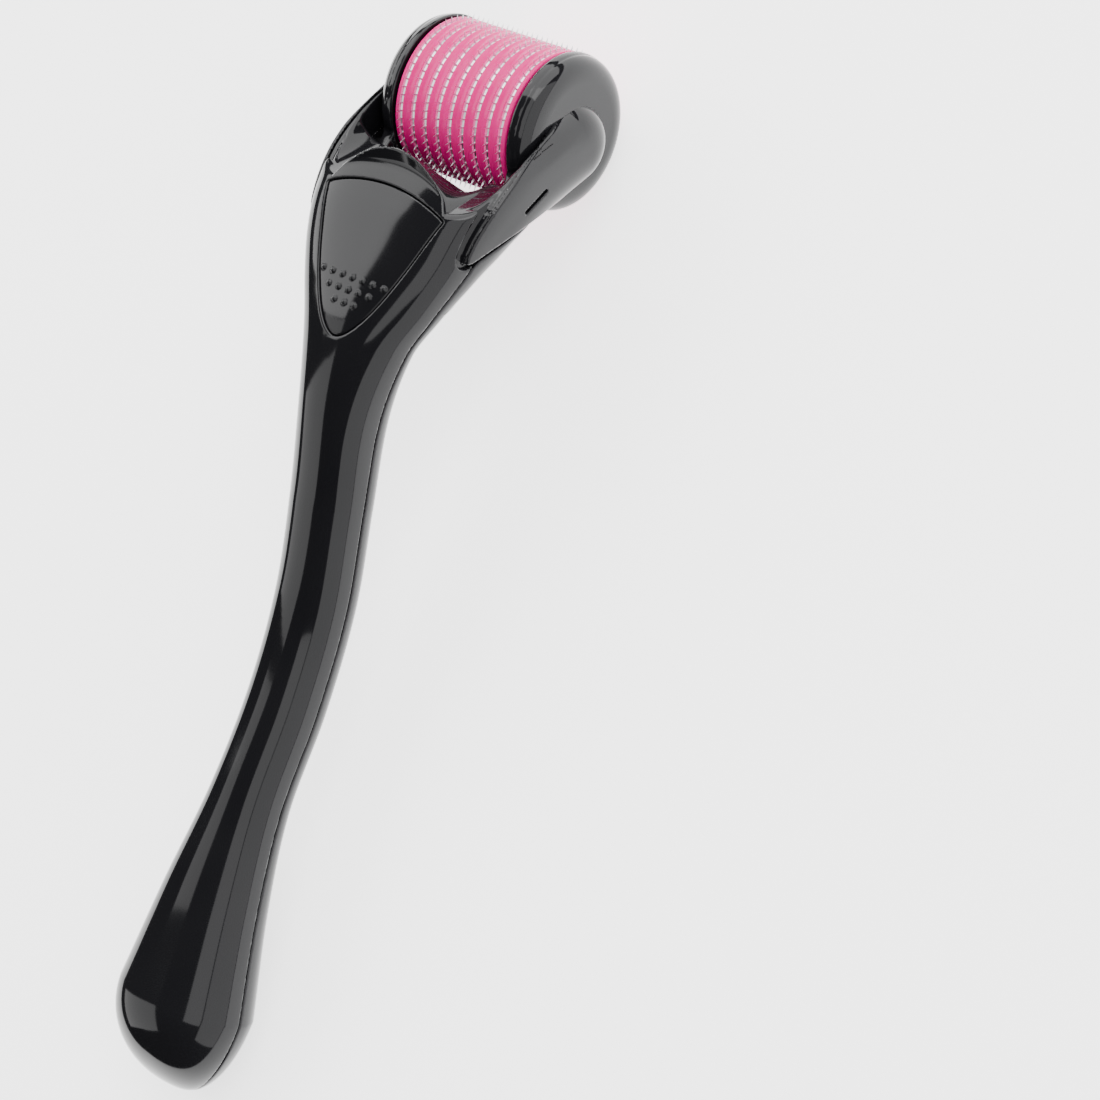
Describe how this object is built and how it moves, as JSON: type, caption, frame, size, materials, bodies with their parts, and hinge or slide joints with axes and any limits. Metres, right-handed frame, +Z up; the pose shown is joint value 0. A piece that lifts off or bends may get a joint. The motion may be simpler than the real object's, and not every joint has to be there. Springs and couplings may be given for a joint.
{
  "type": "derma roller",
  "caption": "Hand-held skin roller with a slim black two-part handle, a thumb pad, and a forked head in which a pink drum of needle discs turns freely.",
  "frame": {"origin": "middle of the object's footprint, on the surface that the drum and the bulb lie on", "axes": "+Y along the roller towards the drum, +Z up on the thumb side, X along the drum's axle"},
  "size_m": [0.0306, 0.1474, 0.0284],
  "materials": {
    "black_plastic": "high gloss",
    "pink_plastic": "translucent gloss",
    "needle_steel": "bright etched",
    "bush_steel": "satin"
  },
  "bodies": {
    "handle": {"handle_front_shell": "black_plastic", "handle_back_shell": "black_plastic", "thumb_pad": "black_plastic", "roller_cradle": "black_plastic", "axle_cover_left": "black_plastic", "axle_cover_right": "black_plastic", "axle_bush_left": "bush_steel", "axle_bush_right": "bush_steel", "axle_pin": "bush_steel"},
    "drum": {"drum_core": "pink_plastic", "drum_cap_left": "pink_plastic", "drum_cap_right": "pink_plastic", "needle_disc_1": "needle_steel", "needle_disc_2": "needle_steel", "needle_disc_3": "needle_steel", "needle_disc_4": "needle_steel", "needle_disc_5": "needle_steel", "needle_disc_6": "needle_steel", "needle_disc_7": "needle_steel", "needle_disc_8": "needle_steel", "needle_disc_9": "needle_steel", "spacer_ring_1": "pink_plastic", "spacer_ring_2": "pink_plastic", "spacer_ring_3": "pink_plastic", "spacer_ring_4": "pink_plastic", "spacer_ring_5": "pink_plastic", "spacer_ring_6": "pink_plastic", "spacer_ring_7": "pink_plastic", "spacer_ring_8": "pink_plastic"}
  },
  "joints": [
    {"name": "drum_spin", "type": "hinge", "parent": "handle", "child": "drum", "pos_m": [0, 0.0627, 0.011], "axis": [1, 0, 0], "continuous": true}
  ]
}
